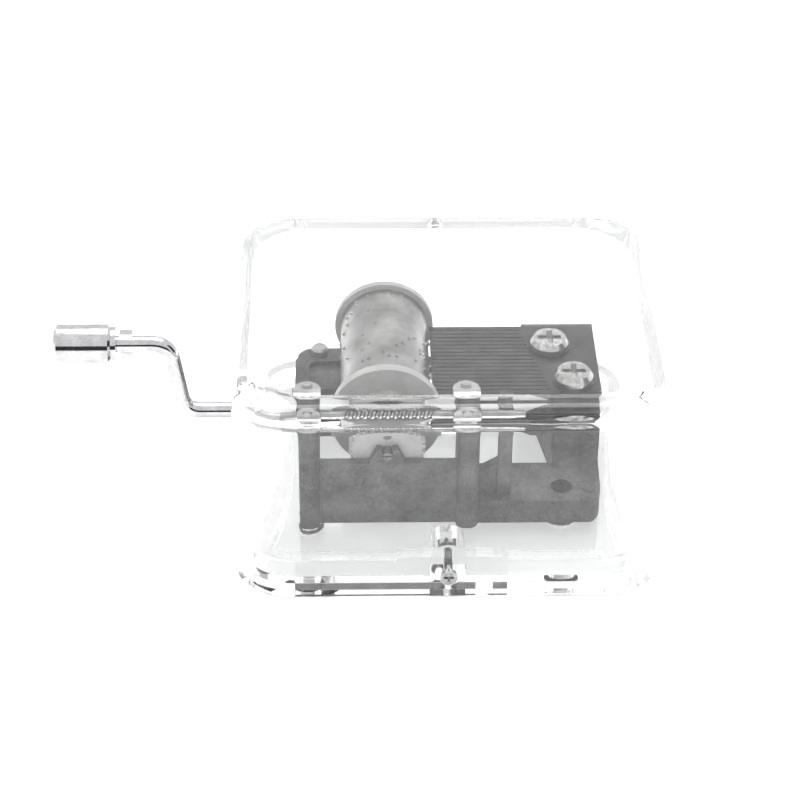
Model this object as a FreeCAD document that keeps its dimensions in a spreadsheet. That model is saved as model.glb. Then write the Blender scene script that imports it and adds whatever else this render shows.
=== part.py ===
import FreeCAD, Part
import Sketcher
import math
import os
import re

# Hand crank music box: a comb and pinned drum movement in a clear cover on a clear base.
# X runs right, Y away from the front, Z up. The origin is the middle of the case's underside.
# The crank shaft lies along X near the front. Its worm turns the drum, which lies along Y.

SIZES = [
    # case
    ("case_wide", 60.0, "case width over the base flange"),
    ("case_deep", 51.0, "case depth over the base flange"),
    ("case_high", 31.5, "case height"),
    ("case_corner", 8.3, "upright corner radius of the case"),
    ("case_draft", 0.857, "draft of the cover's outer walls in degrees"),
    ("case_top_round", 2.0, "rounding of the cover's top edge"),
    ("case_edge_round", 0.3, "small rounding of the base's lower edge"),
    ("cover_wall", 2.4, "thickness of the cover's side walls"),
    ("cover_roof", 1.8, "thickness of the cover's top"),
    ("cover_inner_corner", 8.0, "upright corner radius of the cavity"),
    ("cover_inner_round", 3.0, "rounding of the cavity's top edge"),
    ("seam_z", 1.4, "height of the seam, the top of the base flange"),
    ("cover_low_z", 1.42, "lower edge of the cover, with a hair of air in the seam"),
    ("floor_z", 1.6, "height of the base's inner floor"),
    ("rim_inset", 2.5, "distance from the flange edge to the base's raised rim"),
    ("rim_thick", 2.0, "thickness of the raised rim"),
    ("rim_z", 5.3, "top of the raised rim"),
    ("tab_wide", 14.4, "width of the raised tab at the front and back"),
    ("tab_z", 5.9, "top of the raised tabs"),
    ("fit_gap", 0.05, "clearance between parts that slide together"),
    ("block_wide", 5.0, "width of the screw blocks behind the tabs"),
    ("block_y", 16.8, "distance of the screw blocks' inner face from the middle"),
    ("block_shoulder_z", 4.0, "height of the screw blocks' straight sides"),
    # case screws
    ("case_screw_z", 3.3, "height of the case screws"),
    ("case_screw_head", 1.2, "head radius of the case screws"),
    ("case_screw_head_thick", 0.8, "head thickness of the case screws"),
    ("case_screw_thread", 0.675, "thread radius of the case screws"),
    ("case_screw_inset", 0.15, "depth of the case screws' heads below the wall"),
    ("case_screw_taper_y", 19.0, "where the case screws begin to taper"),
    ("case_screw_tip_y", 17.1, "where the case screws end"),
    # crank shaft with worm
    ("shaft_y", -10.1, "crank shaft axis, front to back"),
    ("shaft_z", 21.15, "crank shaft axis height"),
    ("shaft_radius", 1.15, "radius of the crank shaft and of the worm crests"),
    ("shaft_left_x", -24.6, "left end of the worm shaft, where the crank wire screws on"),
    ("shaft_shoulder_x", 9.3, "right end of the full size shaft"),
    ("shaft_end_x", 10.7, "right end of the shaft's thinner tail"),
    ("shaft_tail_radius", 0.95, "radius of the shaft's thinner tail"),
    ("spigot_radius", 0.6, "radius of the threaded spigot that holds the crank wire"),
    ("spigot_long", 3.0, "length of the threaded spigot"),
    ("cover_hole", 1.6, "radius of the hole that lets the crank through the cover"),
    ("worm_pitch", 1.0367, "axial pitch of the worm, pi times the wheel's 0.33 module"),
    ("worm_root", 0.75, "radius at the bottom of the worm groove"),
    ("groove_root_half", 0.12, "half width of the worm groove at its bottom"),
    ("groove_top_half", 0.44, "half width of the worm groove at the crests"),
    # crank wire and knob
    ("wire_radius", 1.15, "radius of the bent crank wire"),
    ("wire_low_x", -34.3, "where the lower run of the wire begins to bend"),
    ("wire_high_x", -40.3, "where the upper run of the wire begins"),
    ("wire_end_x", -52.0, "outer end of the wire inside the knob"),
    ("wire_bend", 2.5, "bend radius on the wire's centre line"),
    ("crank_throw", 11.1, "height of the upper run above the shaft axis"),
    ("ear_left_x", -44.7, "left end of the flattened ears"),
    ("ear_right_x", -42.9, "right end of the flattened ears"),
    ("ear_half", 1.95, "half the spread of the flattened ears"),
    ("ear_half_thick", 0.55, "half the thickness of the flattened ears"),
    ("knob_radius", 2.8, "knob radius"),
    ("knob_left_x", -53.5, "outer end of the knob"),
    ("knob_right_x", -45.85, "inner end of the knob"),
    ("knob_chamfer", 0.35, "chamfer at both ends of the knob"),
    ("knob_bore", 1.2, "radius of the knob's bore"),
    ("knob_bore_x", -52.4, "blind end of the knob's bore"),
    ("collar_radius", 2.5, "radius of the knob's collar"),
    ("collar_right_x", -45.15, "inner end of the knob's collar"),
    # posts and straps
    ("post_left_low_x", -21.6, "left side of the left post"),
    ("post_left_high_x", -17.8, "right side of the left post"),
    ("post_right_low_x", 1.4, "left side of the right post"),
    ("post_right_high_x", 4.5, "right side of the right post"),
    ("post_front_y", -13.4, "front face of the posts"),
    ("post_rear_y", -6.8, "rear face of the posts"),
    ("post_round", 1.2, "rounding of the posts' front edges"),
    ("post_top_z", 21.5, "top of the posts"),
    ("frame_low_z", 3.0, "lower face of the frame's walls and posts"),
    ("bearing_radius", 1.2, "bearing radius around the crank shaft"),
    ("strap_left_x", -19.5, "middle of the left strap"),
    ("strap_right_x", 2.65, "middle of the right strap"),
    ("strap_half", 1.9, "half width of the straps"),
    ("strap_reach", 3.65, "half length of the straps"),
    ("strap_thick", 0.8, "strap thickness"),
    ("rivet_offset", 2.45, "distance of the strap rivets from the shaft axis"),
    ("rivet_radius", 0.5, "strap rivet shank radius"),
    ("rivet_head", 0.85, "strap rivet head radius"),
    ("rivet_head_top", 0.6, "flat top radius of a strap rivet head"),
    ("rivet_head_high", 0.5, "strap rivet head height"),
    ("rivet_deep", 2.2, "depth of the strap rivets in the posts"),
    # frame walls
    ("wall_front_y", -12.05, "front face of the wall between the posts"),
    ("wall_rear_y", -10.8, "rear face of the wall between the posts"),
    ("wall_top_z", 13.5, "top of the wall between the posts"),
    ("prong_top_z", 15.8, "tip of the two prongs beside the drum axle"),
    ("prong_foot_half", 2.55, "half spread of the two prongs at the wall's top"),
    ("prong_tip_half", 1.5, "half spread of the two prongs at their tips"),
    ("side_wall_thick", 1.6, "thickness of the frame's left wall"),
    ("side_wall_top_z", 9.0, "top of the frame's left wall"),
    ("frame_rear_y", 19.4, "rear edge of the frame"),
    ("rear_bar_y", 17.6, "front face of the rear bar"),
    ("plate_low_z", 2.8, "lower face of the right plate"),
    ("plate_top_z", 6.75, "upper face of the right plate and of the rear bar"),
    ("plate_front_y", -12.0, "front edge of the right plate"),
    ("plate_rear_y", -3.4, "rear edge of the right plate"),
    ("plate_right_x", 22.9, "right edge of the frame"),
    ("plate_round", 3.0, "corner radius of the right plate"),
    ("bridge_half", 4.2, "half width of the raised bridge in the rear bar"),
    ("bridge_top_z", 8.3, "top of the raised bridge in the rear bar"),
    ("bridge_gap_half", 3.0, "half width of the gap under the bridge"),
    ("platform_left_x", -21.3, "left edge of the rear platform"),
    ("platform_right_x", -14.0, "right edge of the rear platform"),
    ("platform_front_y", 10.0, "front edge of the rear platform"),
    ("platform_low_z", 8.4, "lower face of the rear platform"),
    ("platform_top_z", 10.0, "upper face of the rear platform's rim"),
    ("platform_floor_z", 9.3, "sunk floor of the rear platform"),
    ("platform_rim", 1.7, "width of the rear platform's rim"),
    ("platform_round", 2.5, "corner radius of the rear platform"),
    ("bearing_lug_half", 3.0, "half width of the rear drum bearing"),
    ("bearing_lug_rear_y", 20.7, "rear face of the rear drum bearing"),
    ("bearing_lug_top_z", 17.2, "top of the rear drum bearing"),
    ("shaft_lug_left_x", 7.3, "left side of the lug at the shaft's right end"),
    ("shaft_lug_right_x", 9.2, "right side of the lug at the shaft's right end"),
    ("shaft_lug_front_y", -10.6, "front face of the lug at the shaft's right end"),
    ("shaft_lug_rear_y", -8.2, "rear face of the lug at the shaft's right end"),
    ("shaft_lug_top_z", 21.9, "top of the lug at the shaft's right end"),
    ("web_low_z", 9.4, "top of the sloping web at the post"),
    ("web_high_z", 12.4, "top of the sloping web at the lug"),
    ("web_front_y", -9.9, "front face of the sloping web"),
    ("open_hole_x", 16.57, "open frame hole, left to right"),
    ("open_hole_y", -8.8, "open frame hole, front to back"),
    ("open_hole_radius", 1.55, "radius of the open frame hole"),
    ("open_hole_floor_z", 4.2, "depth where the open frame hole narrows to its thread"),
    ("boss_radius", 2.75, "radius of the frame's feet"),
    ("boss_low_z", 2.0, "lower face of the foot under the open hole"),
    ("mark_x", 20.6, "round casting mark, left to right"),
    ("mark_y", -9.1, "round casting mark, front to back"),
    ("mark_radius", 1.15, "radius of the round casting mark"),
    ("mark_high", 0.18, "height of the round casting mark"),
    ("rear_foot_x", -17.7, "rear foot, left to right"),
    ("rear_foot_y", 14.5, "rear foot, front to back"),
    ("post_foot_x", -19.7, "foot under the left post, left to right"),
    ("post_foot_y", -10.4, "foot under the left post, front to back"),
    # movement screws and platform rivet
    ("foot_screw_radius", 1.0, "thread radius of the movement screws"),
    ("foot_screw_head", 1.9, "head radius of the movement screws"),
    ("foot_screw_head_thick", 0.9, "head thickness of the movement screws"),
    ("foot_screw_low_z", 0.15, "lower face of the movement screws' heads"),
    ("foot_screw_top_z", 4.6, "upper end of the movement screws"),
    ("standoff_radius", 2.5, "radius of the base's standoffs"),
    ("frame_rivet_x", -18.0, "platform rivet, left to right"),
    ("frame_rivet_y", 18.0, "platform rivet, front to back"),
    ("frame_rivet_radius", 0.7, "platform rivet shank radius"),
    ("frame_rivet_head", 1.25, "platform rivet head radius"),
    ("frame_rivet_top_z", 11.3, "top of the platform rivet"),
    # comb and its fixings
    ("comb_tip_x", -1.6, "tips of the comb's teeth"),
    ("comb_heel_x", 22.75, "heel of the comb"),
    ("comb_near_y", 0.6, "near edge of the comb"),
    ("comb_far_y", 17.6, "far edge of the comb"),
    ("comb_low_z", 14.2, "lower face of the comb"),
    ("comb_top_z", 15.0, "upper face of the comb"),
    ("comb_corner", 1.4, "corner radius of the comb's heel"),
    ("comb_slot", 0.2, "width of the slots between the teeth"),
    ("comb_root_near_x", 15.6, "root of the nearest slot"),
    ("comb_root_far_x", 11.5, "root of the farthest slot"),
    ("pedestal_near_x", 15.7, "left side of the comb's pedestal at its near end"),
    ("pedestal_far_x", 12.2, "left side of the comb's pedestal at its far end"),
    ("pedestal_near_y", -0.1, "near face of the comb's pedestal"),
    ("comb_screw_near_x", 18.86, "near comb screw, left to right"),
    ("comb_screw_near_y", 3.6, "near comb screw, front to back"),
    ("comb_screw_far_x", 15.95, "far comb screw, left to right"),
    ("comb_screw_far_y", 12.2, "far comb screw, front to back"),
    ("comb_screw_radius", 1.25, "thread radius of the comb screws"),
    ("comb_screw_head", 2.85, "head radius of the comb screws"),
    ("comb_screw_crown", 2.35, "flat top radius of the comb screws' heads"),
    ("comb_screw_head_low", 0.6, "straight part of the comb screws' heads"),
    ("comb_screw_top_z", 16.8, "top of the comb screws"),
    ("comb_screw_low_z", 9.5, "lower end of the comb screws"),
    ("cross_half_long", 1.7, "half length of the cross recess"),
    ("cross_half_wide", 0.42, "half width of the cross recess"),
    ("cross_deep", 0.8, "depth of the cross recess"),
    ("washer_radius", 3.0, "outer radius of the comb washers"),
    ("washer_thick", 0.45, "thickness of the comb washers"),
    # drum
    ("drum_x", -8.35, "drum axis, left to right"),
    ("drum_z", 14.9, "drum axis height"),
    ("drum_radius", 6.45, "drum radius"),
    ("drum_shell", 0.5, "thickness of the drum's shell"),
    ("drum_front_y", -2.9, "front end of the drum"),
    ("drum_rear_y", 18.1, "rear end of the drum"),
    ("pin_tip", 6.7, "distance of the pin tips from the drum axis"),
    ("pin_foot_radius", 0.4, "radius of a pin at its foot"),
    ("pin_tip_radius", 0.16, "radius of a pin at its tip"),
    ("disc_front_radius", 7.8, "radius of the drum wheel's disc"),
    ("disc_front_y", -4.3, "front face of the drum wheel's disc"),
    ("disc_rear_radius", 7.3, "radius of the rear end disc"),
    ("disc_rear_y", 19.1, "rear face of the rear end disc"),
    ("spigot_disc_long", 1.2, "how far the end discs reach into the drum"),
    ("wheel_front_y", -10.65, "front face of the worm wheel's teeth"),
    ("wheel_rear_y", -8.65, "rear face of the worm wheel's teeth"),
    ("wheel_root", 4.95, "root radius of the worm wheel"),
    ("wheel_tip", 5.38, "tip radius of the worm wheel"),
    ("wheel_hub", 4.3, "radius of the hub between the worm wheel and its disc"),
    ("tooth_root_half", 0.24, "half width of a wheel tooth at its root"),
    ("tooth_tip_half", 0.1, "half width of a wheel tooth at its tip"),
    ("wheel_hole_up", 2.05, "height of the wheel's small hole above its axis"),
    ("wheel_hole_radius", 0.55, "radius of the wheel's small hole"),
    ("wheel_hole_deep", 1.4, "depth of the wheel's small hole"),
    ("axle_radius", 0.7, "drum axle radius"),
    ("axle_bearing", 0.75, "bearing radius around the drum axle"),
    ("axle_front_y", -12.3, "front end of the drum axle"),
    ("axle_rear_y", 21.0, "rear end of the drum axle"),
    ("press_gap", 0.01, "clearance at the pressed and threaded joints"),
]
COUNTS = {"wheel_teeth": 33, "comb_teeth": 18, "worm_half_turns": 6}

VALUES = {alias: value for alias, value, _ in SIZES}
VALUES.update(COUNTS)
NODES = []


def fill_sheet(doc):
    """Put every driving size in the spreadsheet under its alias."""
    sheet = doc.addObject("Spreadsheet::Sheet", "Sizes")
    rows = [(alias, value, note) for alias, value, note in SIZES]
    rows += [(alias, count, "count") for alias, count in COUNTS.items()]
    for row, (alias, value, note) in enumerate(rows, start=1):
        sheet.set(f"A{row}", alias)
        sheet.set(f"B{row}", str(value))
        sheet.setAlias(f"B{row}", alias)
        sheet.set(f"C{row}", note)
    doc.recompute()


def in_sheet(text):
    """Point every alias in an expression at the spreadsheet."""
    def point(match):
        word = match.group()
        return "Sizes." + word if word in VALUES else word
    return re.sub(r"[a-z]\w*", point, text)


def value_of(text):
    """The number that a simple sum or product of aliases comes to."""
    doc = FreeCAD.ActiveDocument
    return float(doc.getObject("Sizes").evalExpression(in_sheet(text)))


def drive(thing, prop, text):
    """Bind one property to an expression in the sheet's aliases."""
    thing.setExpression(prop, in_sheet(text))


def keep(thing, node):
    """Name a finished sub-part and list it for export."""
    thing.Label = node
    NODES.append(thing)
    return thing


def block(doc, name, x, y, z):
    """A box between a low and a high expression on each axis."""
    box = doc.addObject("Part::Box", name)
    for size, axis, (low, high) in (("Length", "x", x), ("Width", "y", y), ("Height", "z", z)):
        drive(box, size, f"({high}) - ({low})")
        drive(box, f"Placement.Base.{axis}", low)
    return box


TURNS = {
    "x": FreeCAD.Rotation(FreeCAD.Vector(0, 1, 0), 90),
    "y": FreeCAD.Rotation(FreeCAD.Vector(1, 0, 0), -90),
    "z": FreeCAD.Rotation(),
}


def stand(thing, along, centre, low):
    """Place a round primitive with its axis along X, Y or Z."""
    thing.Placement = FreeCAD.Placement(FreeCAD.Vector(), TURNS[along])
    across = [axis for axis in "xyz" if axis != along]
    for axis, text in zip(across, centre):
        drive(thing, f"Placement.Base.{axis}", text)
    drive(thing, f"Placement.Base.{along}", low)


def rod(doc, name, along, centre, span, radius):
    """A cylinder along one axis, between two expressions."""
    low, high = span
    cylinder = doc.addObject("Part::Cylinder", name)
    stand(cylinder, along, centre, low)
    drive(cylinder, "Height", f"({high}) - ({low})")
    drive(cylinder, "Radius", radius)
    return cylinder


def taper(doc, name, along, centre, span, radius_low, radius_high):
    """A cone along one axis, between two expressions."""
    low, high = span
    cone = doc.addObject("Part::Cone", name)
    stand(cone, along, centre, low)
    drive(cone, "Height", f"({high}) - ({low})")
    drive(cone, "Radius1", radius_low)
    drive(cone, "Radius2", radius_high)
    return cone


def join(doc, name, pieces):
    """One solid made of touching pieces."""
    fuse = doc.addObject("Part::MultiFuse", name)
    fuse.Shapes = pieces
    fuse.Refine = True
    return fuse


def cut(doc, name, base, tools):
    """The base with the tools removed."""
    tool = tools[0]
    if len(tools) > 1:
        tool = doc.addObject("Part::MultiFuse", name + "Tools")
        tool.Shapes = tools
    result = doc.addObject("Part::Cut", name)
    result.Base = base
    result.Tool = tool
    result.Refine = True
    return result


def group(doc, name, pieces):
    """Several separate solids kept as one object."""
    compound = doc.addObject("Part::Compound", name)
    compound.Links = pieces
    return compound


def new_body(doc, name):
    """An empty body."""
    return doc.addObject("PartDesign::Body", name)


def sketch_on(body, name, plane, offset):
    """An empty sketch on one of the body's own planes, moved along its normal."""
    sketch = body.newObject("Sketcher::SketchObject", name)
    origin_plane = next(f for f in body.Origin.OriginFeatures if f.Role == plane)
    sketch.AttachmentSupport = [(origin_plane, "")]
    sketch.MapMode = "FlatFace"
    if offset:
        drive(sketch, "AttachmentOffset.Base.z", offset)
    return sketch


def pin_point(sketch, geometry, point, across, up):
    """Fix one point of a sketch at two expressions."""
    for kind, text in (("DistanceX", across), ("DistanceY", up)):
        index = sketch.addConstraint(
            Sketcher.Constraint(kind, -1, 1, geometry, point, value_of(text)))
        drive(sketch, f"Constraints[{index}]", text)


def polygon(body, name, plane, offset, points):
    """A closed straight-sided outline whose corners are pairs of expressions."""
    sketch = sketch_on(body, name, plane, offset)
    corners = [FreeCAD.Vector(value_of(a), value_of(b), 0) for a, b in points]
    for index, corner in enumerate(corners):
        following = corners[(index + 1) % len(corners)]
        sketch.addGeometry(Part.LineSegment(corner, following))
    for index in range(len(points)):
        following = (index + 1) % len(points)
        sketch.addConstraint(Sketcher.Constraint("Coincident", index, 2, following, 1))
    for index, (across, up) in enumerate(points):
        pin_point(sketch, index, 1, across, up)
    return sketch


def circle(body, name, plane, offset, centre, radius):
    """A circle whose centre and radius are expressions."""
    sketch = sketch_on(body, name, plane, offset)
    middle = FreeCAD.Vector(value_of(centre[0]), value_of(centre[1]), 0)
    sketch.addGeometry(Part.Circle(middle, FreeCAD.Vector(0, 0, 1), value_of(radius)))
    pin_point(sketch, 0, 3, *centre)
    index = sketch.addConstraint(Sketcher.Constraint("Radius", 0, value_of(radius)))
    drive(sketch, f"Constraints[{index}]", radius)
    return sketch


def rounded_outline(body, name, wide, deep, corner, height):
    """A rounded rectangle about the Z axis at one height."""
    sketch = sketch_on(body, name, "XY_Plane", height)
    half_x, half_y, radius = value_of(wide) / 2, value_of(deep) / 2, value_of(corner)
    inner_x, inner_y = half_x - radius, half_y - radius
    normal = FreeCAD.Vector(0, 0, 1)
    sides = [
        ((-inner_x, -half_y), (inner_x, -half_y)), ((half_x, -inner_y), (half_x, inner_y)),
        ((inner_x, half_y), (-inner_x, half_y)), ((-half_x, inner_y), (-half_x, -inner_y)),
    ]
    centres = [(inner_x, -inner_y), (inner_x, inner_y), (-inner_x, inner_y), (-inner_x, -inner_y)]
    for start, end in sides:
        sketch.addGeometry(Part.LineSegment(FreeCAD.Vector(*start, 0), FreeCAD.Vector(*end, 0)))
    for index, centre in enumerate(centres):
        round_corner = Part.Circle(FreeCAD.Vector(*centre, 0), normal, radius)
        begin = math.radians(-90 + 90 * index)
        sketch.addGeometry(Part.ArcOfCircle(round_corner, begin, begin + math.pi / 2))
    for index in range(4):
        arc = 4 + index
        following = (index + 1) % 4
        sketch.addConstraint(Sketcher.Constraint("Tangent", index, 2, arc, 1))
        sketch.addConstraint(Sketcher.Constraint("Tangent", arc, 2, following, 1))
    sketch.addConstraint(Sketcher.Constraint("Horizontal", 2))
    sketch.addConstraint(Sketcher.Constraint("Vertical", 3))
    for index in range(1, 4):
        sketch.addConstraint(Sketcher.Constraint("Equal", 4, 4 + index))
    sketch.addConstraint(Sketcher.Constraint("Symmetric", 0, 1, 0, 2, -2))
    sketch.addConstraint(Sketcher.Constraint("Symmetric", 1, 1, 1, 2, -1))
    limits = (("Radius", (4, ), corner), ("Distance", (3, 1, 1), wide), ("Distance", (0, 1, 2), deep))
    for kind, where, text in limits:
        index = sketch.addConstraint(Sketcher.Constraint(kind, *where, value_of(text)))
        drive(sketch, f"Constraints[{index}]", text)
    return sketch


def pad(body, sketch, length, name):
    """Thicken a sketch along its normal."""
    feature = body.newObject("PartDesign::Pad", name)
    feature.Profile = sketch
    drive(feature, "Length", length)
    body.Document.recompute()
    return feature


def pocket(body, sketch, length, name):
    """Sink a sketch into the body along its normal."""
    feature = body.newObject("PartDesign::Pocket", name)
    feature.Profile = sketch
    feature.Reversed = True
    drive(feature, "Length", length)
    body.Document.recompute()
    return feature


def soften(body, feature, chosen, radius, name):
    """Round the edges of a feature that the chosen test accepts."""
    edges = feature.Shape.Edges
    names = [f"Edge{i + 1}" for i, edge in enumerate(edges) if chosen(edge)]
    fillet = body.newObject("PartDesign::Fillet", name)
    fillet.Base = (feature, names)
    drive(fillet, "Radius", radius)
    body.Document.recompute()
    return fillet


def at_height(height):
    """A test for edges that lie flat at one height."""
    def chosen(edge):
        box = edge.BoundBox
        return abs(box.ZMin - height) < 1e-4 and abs(box.ZMax - height) < 1e-4
    return chosen


def upright_at(*places):
    """A test for upright edges that stand at one of the given X, Y places."""
    def chosen(edge):
        box = edge.BoundBox
        if box.ZLength < 1e-3 or box.XLength > 1e-4 or box.YLength > 1e-4:
            return False
        return any(math.hypot(box.XMin - x, box.YMin - y) < 1e-3 for x, y in places)
    return chosen


def slab(doc, name, points, low, high):
    """A flat plate with an outline in X and Y, between two heights."""
    body = new_body(doc, name)
    outline = polygon(body, name + "Outline", "XY_Plane", low, points)
    pad(body, outline, f"({high}) - ({low})", name + "Pad")
    return body


def panel(doc, name, points, front, rear):
    """An upright plate with an outline in X and Z, between two depths."""
    body = new_body(doc, name)
    outline = polygon(body, name + "Outline", "XZ_Plane", f"-({rear})", points)
    pad(body, outline, f"({rear}) - ({front})", name + "Pad")
    return body


def make_top_cover(doc):
    """The clear cover: drafted walls, cavity, rebate over the base rim, crank and screw holes."""
    body = new_body(doc, "CoverShell")
    outline = rounded_outline(
        body, "CoverOutline", "case_wide", "case_deep", "case_corner", "cover_low_z")
    walls = pad(body, outline, "case_high - cover_low_z", "CoverPad")
    drive(walls, "TaperAngle", "-case_draft")
    doc.recompute()
    high = VALUES["case_high"]
    soften(body, walls, at_height(high), "case_top_round", "CoverTopRound")
    cavity = rounded_outline(
        body, "CavityOutline", "case_wide - 2 * cover_wall", "case_deep - 2 * cover_wall",
        "cover_inner_corner", "cover_low_z")
    hollow = pocket(body, cavity, "case_high - cover_roof - cover_low_z", "CoverCavity")
    roof = high - VALUES["cover_roof"]
    soften(body, hollow, at_height(roof), "cover_inner_round", "CavityRound")
    rebate = rounded_outline(
        body, "RebateOutline", "case_wide - 2 * (rim_inset - fit_gap)",
        "case_deep - 2 * (rim_inset - fit_gap)", "case_corner - rim_inset + fit_gap", "cover_low_z")
    pocket(body, rebate, "rim_z + fit_gap - cover_low_z", "CoverRebate")
    half_tab = "tab_wide / 2 + fit_gap"
    half_deep = "case_deep / 2 - rim_inset + fit_gap"
    notch = block(doc, "TabNotch", (f"-({half_tab})", half_tab), (f"-({half_deep})", half_deep),
                  ("cover_low_z", "tab_z + fit_gap"))
    crank_hole = rod(doc, "CrankHole", "x", ("shaft_y", "shaft_z"), ("-case_wide", "-case_wide / 4"),
                     "cover_hole")
    screw_hole = rod(doc, "CoverScrewHole", "y", ("0", "case_screw_z"), ("-case_deep", "case_deep"),
                     "case_screw_thread + fit_gap")
    sunk = "case_deep / 2 - case_screw_inset - case_screw_head_thick"
    front_seat = rod(doc, "FrontScrewSeat", "y", ("0", "case_screw_z"), ("-case_deep", f"-({sunk})"),
                     "case_screw_head + fit_gap")
    rear_seat = rod(doc, "RearScrewSeat", "y", ("0", "case_screw_z"), (sunk, "case_deep"),
                    "case_screw_head + fit_gap")
    cover = cut(doc, "TopCover", body, [notch, crank_hole, screw_hole, front_seat, rear_seat])
    return keep(cover, "top_cover")


def feet():
    """Where the three movement screws stand."""
    return (("OpenHole", "open_hole_x", "open_hole_y", "boss_low_z"),
            ("PostFoot", "post_foot_x", "post_foot_y", "frame_low_z"),
            ("RearFoot", "rear_foot_x", "rear_foot_y", "frame_low_z"))


def make_base_plate(doc):
    """The clear base: flange, raised rim with tabs, screw blocks and standoffs."""
    body = new_body(doc, "BaseTray")
    flange = rounded_outline(body, "FlangeOutline", "case_wide", "case_deep", "case_corner", "")
    lower = pad(body, flange, "seam_z", "FlangePad")
    soften(body, lower, at_height(0), "case_edge_round", "FlangeRound")
    rim = rounded_outline(
        body, "RimOutline", "case_wide - 2 * rim_inset", "case_deep - 2 * rim_inset",
        "case_corner - rim_inset", "seam_z")
    pad(body, rim, "rim_z - seam_z", "RimPad")
    inside = "2 * (rim_inset + rim_thick)"
    tray = rounded_outline(
        body, "TrayOutline", f"case_wide - {inside}", f"case_deep - {inside}",
        "case_corner - rim_inset - rim_thick", "floor_z")
    pocket(body, tray, "rim_z - floor_z", "TrayPocket")
    pieces = [body]
    holes = []
    for side, sign in (("Front", "-"), ("Rear", "")):
        outer = f"{sign}(case_deep / 2 - rim_inset)"
        inner = f"{sign}(case_deep / 2 - rim_inset - rim_thick)"
        deep = (outer, inner) if sign else (inner, outer)
        pieces.append(block(doc, side + "Tab", ("-tab_wide / 2", "tab_wide / 2"), deep,
                            ("seam_z", "tab_z")))
        block_start = f"{sign}(case_deep / 2 - rim_inset - rim_thick + 0.2)"
        block_end = f"{sign}block_y"
        deep = (block_start, block_end) if sign else (block_end, block_start)
        pieces.append(block(doc, side + "Block", ("-block_wide / 2", "block_wide / 2"), deep,
                            ("seam_z / 2", "block_shoulder_z")))
        pieces.append(rod(doc, side + "BlockRound", "y", ("0", "block_shoulder_z"), deep,
                          "block_wide / 2"))
    for name, x, y, top in feet():
        pieces.append(rod(doc, name + "Standoff", "z", (x, y), ("floor_z / 2", top),
                          "standoff_radius"))
        holes.append(rod(doc, name + "Bore", "z", (x, y), ("-floor_z", f"{top} + floor_z"),
                         "foot_screw_radius + fit_gap"))
        holes.append(rod(doc, name + "Seat", "z", (x, y),
                         ("-floor_z", "foot_screw_low_z + foot_screw_head_thick"),
                         "foot_screw_head + fit_gap"))
    holes.append(rod(doc, "BaseScrewHole", "y", ("0", "case_screw_z"), ("-case_deep", "case_deep"),
                     "case_screw_thread + press_gap"))
    solid = join(doc, "BaseSolid", pieces)
    return keep(cut(doc, "BasePlate", solid, holes), "base_plate")


def cross_recess(doc, name, along, centre, span, long, wide):
    """Two crossed bars that cut a screwdriver recess."""
    x, y = centre
    bars = []
    for index, (half_a, half_b) in enumerate(((long, wide), (wide, long))):
        first = (f"{x} - {half_a}", f"{x} + {half_a}")
        second = (f"{y} - {half_b}", f"{y} + {half_b}")
        spans = (first, span, second) if along == "y" else (first, second, span)
        bars.append(block(doc, f"{name}Bar{index}", *spans))
    return bars


def make_case_screws(doc):
    """Two pointed screws with cross recesses, one at the front and one at the back."""
    screws = []
    centre = ("0", "case_screw_z")
    for side, sign in (("Front", "-"), ("Rear", "")):
        face = f"{sign}(case_deep / 2 - case_screw_inset)"
        under = f"{sign}(case_deep / 2 - case_screw_inset - case_screw_head_thick)"
        floor = f"{sign}(case_deep / 2 - case_screw_inset - case_screw_head_thick * 0.7)"
        name = side + "CaseScrew"
        ends = [(face, under), (under, f"{sign}case_screw_taper_y"),
                (f"{sign}case_screw_taper_y", f"{sign}case_screw_tip_y")]
        tips = ("case_screw_thread", "press_gap")
        if not sign:
            ends = [(high, low) for low, high in ends]
            tips = tuple(reversed(tips))
        head = rod(doc, name + "Head", "y", centre, ends[0], "case_screw_head")
        shank = rod(doc, name + "Shank", "y", centre, ends[1], "case_screw_thread")
        point = taper(doc, name + "Point", "y", centre, ends[2], *tips)
        solid = join(doc, name + "Solid", [head, shank, point])
        recess = (face, floor) if sign else (floor, face)
        bars = cross_recess(doc, name, "y", centre, recess, "0.7", "0.2")
        screws.append(cut(doc, name, solid, bars))
    return keep(group(doc, "CaseScrews", screws), "case_screws")


def make_movement_screws(doc):
    """Three screws that come up through the base into the movement's feet."""
    screws = []
    under = "foot_screw_low_z + foot_screw_head_thick"
    for name, x, y, _ in feet():
        head = rod(doc, name + "ScrewHead", "z", (x, y), ("foot_screw_low_z", under),
                   "foot_screw_head")
        shank = rod(doc, name + "ScrewShank", "z", (x, y), (under, "foot_screw_top_z"),
                    "foot_screw_radius")
        solid = join(doc, name + "ScrewSolid", [head, shank])
        bars = cross_recess(doc, name + "Screw", "z", (x, y),
                            ("foot_screw_low_z", "foot_screw_low_z + 0.5"), "1.1", "0.25")
        screws.append(cut(doc, name + "Screw", solid, bars))
    return keep(group(doc, "MovementScrews", screws), "movement_screws")


def post(doc, name, low_x, high_x):
    """An upright post with rounded front edges."""
    nose_y = "post_front_y + post_round"
    tall = ("frame_low_z", "post_top_z")
    pieces = [
        block(doc, name + "Core", (low_x, high_x), (nose_y, "post_rear_y"), tall),
        block(doc, name + "Nose", (f"{low_x} + post_round", f"{high_x} - post_round"),
              ("post_front_y", nose_y), tall),
        rod(doc, name + "RoundLow", "z", (f"{low_x} + post_round", nose_y), tall, "post_round"),
        rod(doc, name + "RoundHigh", "z", (f"{high_x} - post_round", nose_y), tall, "post_round"),
    ]
    return pieces


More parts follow.
